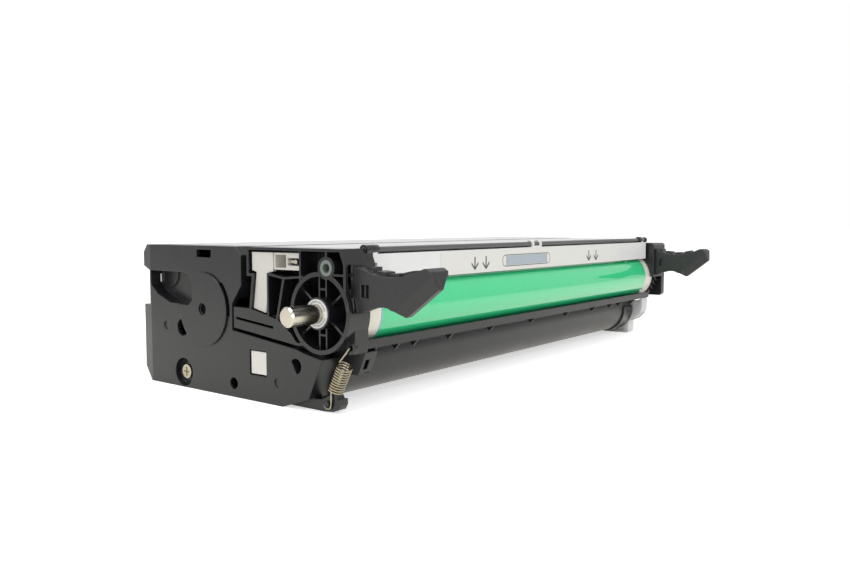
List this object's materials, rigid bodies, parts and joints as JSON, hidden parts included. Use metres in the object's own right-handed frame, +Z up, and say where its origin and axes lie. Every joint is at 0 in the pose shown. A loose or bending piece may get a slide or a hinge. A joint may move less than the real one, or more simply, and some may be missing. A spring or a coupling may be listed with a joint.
{
  "type": "laser printer toner cartridge",
  "caption": "Long black printer cartridge with a green imaging drum, a white guide plate, two grip handles, a steel locating shaft and a hinged toner hopper.",
  "frame": {"origin": "on the drum's axis, where the free end of the steel shaft leaves its white bush", "axes": "+X along the drum towards the drive end, +Y towards the back, +Z up"},
  "size_m": [0.3395, 0.1782, 0.0678],
  "materials": {
    "black_shell": "moulded semi-gloss black, lightly worn",
    "black_handle": "moulded matt dark grey",
    "white_plastic": "moulded white, satin",
    "natural_plastic": "uncoloured moulded plastic, slightly translucent",
    "cream_plastic": "cream moulded, satin",
    "drum_coating": "green organic photoconductor coating on aluminium, glossy",
    "steel": "turned and ground",
    "zinc_steel": "zinc plated",
    "spring_steel": "drawn wire",
    "bush_grey": "grey-green sintered look",
    "sleeve_aluminium": "blasted, dark",
    "foam": "open-cell foam",
    "charge_rubber": "smooth conductive rubber",
    "blade_rubber": "translucent amber polyurethane",
    "film": "thin clear polyester film",
    "gear_plastic": "acetal, natural",
    "black_gear": "black acetal"
  },
  "bodies": {
    "toner_unit": {"toner_tub": "black_shell", "tub_lid": "black_shell", "top_cover": "black_shell", "slot_roof": "black_shell", "near_end_cover": "black_shell", "pivot_disc": "black_shell", "near_hinge_pin": "steel", "far_hinge_pin": "steel", "level_window": "white_plastic", "gear_cover": "natural_plastic", "far_end_cover": "black_shell", "doctor_bracket": "zinc_steel", "doctor_blade": "steel", "near_cover_screw": "zinc_steel", "near_spring": "spring_steel"},
    "drum_unit": {"drum_frame": "black_shell", "near_frame": "black_shell", "far_frame": "black_shell", "near_handle": "black_handle", "far_handle": "black_handle", "drum_shaft": "steel", "shaft_bush": "white_plastic", "locating_bush": "bush_grey", "terminal_plate": "white_plastic", "contact_block": "white_plastic", "contact_rod": "steel", "guide_rod": "black_shell", "blade_bracket": "zinc_steel", "cleaning_blade": "blade_rubber", "near_charge_bearing": "white_plastic", "far_charge_bearing": "white_plastic"},
    "drum": {"drum_tube": "drum_coating", "near_flange": "cream_plastic", "far_flange": "cream_plastic", "drum_gear": "black_gear"},
    "charge_roller": {"charge_core": "steel", "charge_sleeve": "charge_rubber"},
    "auger": {"waste_auger": "gear_plastic", "auger_gear": "gear_plastic"},
    "idler": {"idler_gear": "gear_plastic"},
    "guide": {"guide_plate": "white_plastic"},
    "developer": {"developer_roller": "sleeve_aluminium", "developer_shaft": "steel", "developer_gear": "gear_plastic"},
    "feed": {"feed_roller": "foam", "feed_shaft": "steel", "feed_gear": "gear_plastic"},
    "front_stirrer": {"front_stirrer": "gear_plastic", "front_stirrer_film": "film", "front_stirrer_gear": "gear_plastic"},
    "rear_stirrer": {"rear_stirrer": "gear_plastic", "rear_stirrer_film": "film", "rear_stirrer_gear": "gear_plastic"}
  },
  "joints": [
    {"name": "unit_hinge", "type": "hinge", "parent": "toner_unit", "child": "drum_unit", "pos_m": [0, 0.0736, -0.0029], "axis": [-1, 0, 0], "range_deg": [0, 5], "deforming": ["near_spring"]},
    {"name": "guide_plate_hinge", "type": "hinge", "parent": "drum_unit", "child": "guide", "pos_m": [0, -0.0112, 0.025], "axis": [-1, 0, 0], "range_deg": [0, 60]},
    {"name": "drum_spin", "type": "hinge", "parent": "drum_unit", "child": "drum", "pos_m": [0, 0, 0], "axis": [1, 0, 0], "continuous": true},
    {"name": "charge_roller_spin", "type": "hinge", "parent": "drum_unit", "child": "charge_roller", "pos_m": [0, 0.02103, 0.00371], "axis": [1, 0, 0], "continuous": true},
    {"name": "idler_spin", "type": "hinge", "parent": "drum_unit", "child": "idler", "pos_m": [0, 0.02426, 0.00605], "axis": [1, 0, 0], "continuous": true},
    {"name": "auger_spin", "type": "hinge", "parent": "drum_unit", "child": "auger", "pos_m": [0, 0.03617, 0.01536], "axis": [1, 0, 0], "continuous": true},
    {"name": "developer_spin", "type": "hinge", "parent": "toner_unit", "child": "developer", "pos_m": [0, 0.01365, -0.02271], "axis": [1, 0, 0], "continuous": true},
    {"name": "feed_spin", "type": "hinge", "parent": "toner_unit", "child": "feed", "pos_m": [0, 0.03356, -0.02463], "axis": [1, 0, 0], "continuous": true},
    {"name": "front_stirrer_spin", "type": "hinge", "parent": "toner_unit", "child": "front_stirrer", "pos_m": [0, 0.05996, -0.02241], "axis": [1, 0, 0], "continuous": true},
    {"name": "rear_stirrer_spin", "type": "hinge", "parent": "toner_unit", "child": "rear_stirrer", "pos_m": [0, 0.08896, -0.02241], "axis": [1, 0, 0], "continuous": true}
  ],
  "couplings": [
    {"joint": "charge_roller_spin", "follows": "drum_spin", "ratio": -2.5},
    {"joint": "idler_spin", "follows": "drum_spin", "ratio": -1.5},
    {"joint": "auger_spin", "follows": "drum_spin", "ratio": 3},
    {"joint": "feed_spin", "follows": "developer_spin", "ratio": -0.66667},
    {"joint": "front_stirrer_spin", "follows": "developer_spin", "ratio": 0.55172},
    {"joint": "rear_stirrer_spin", "follows": "developer_spin", "ratio": -0.55172}
  ]
}
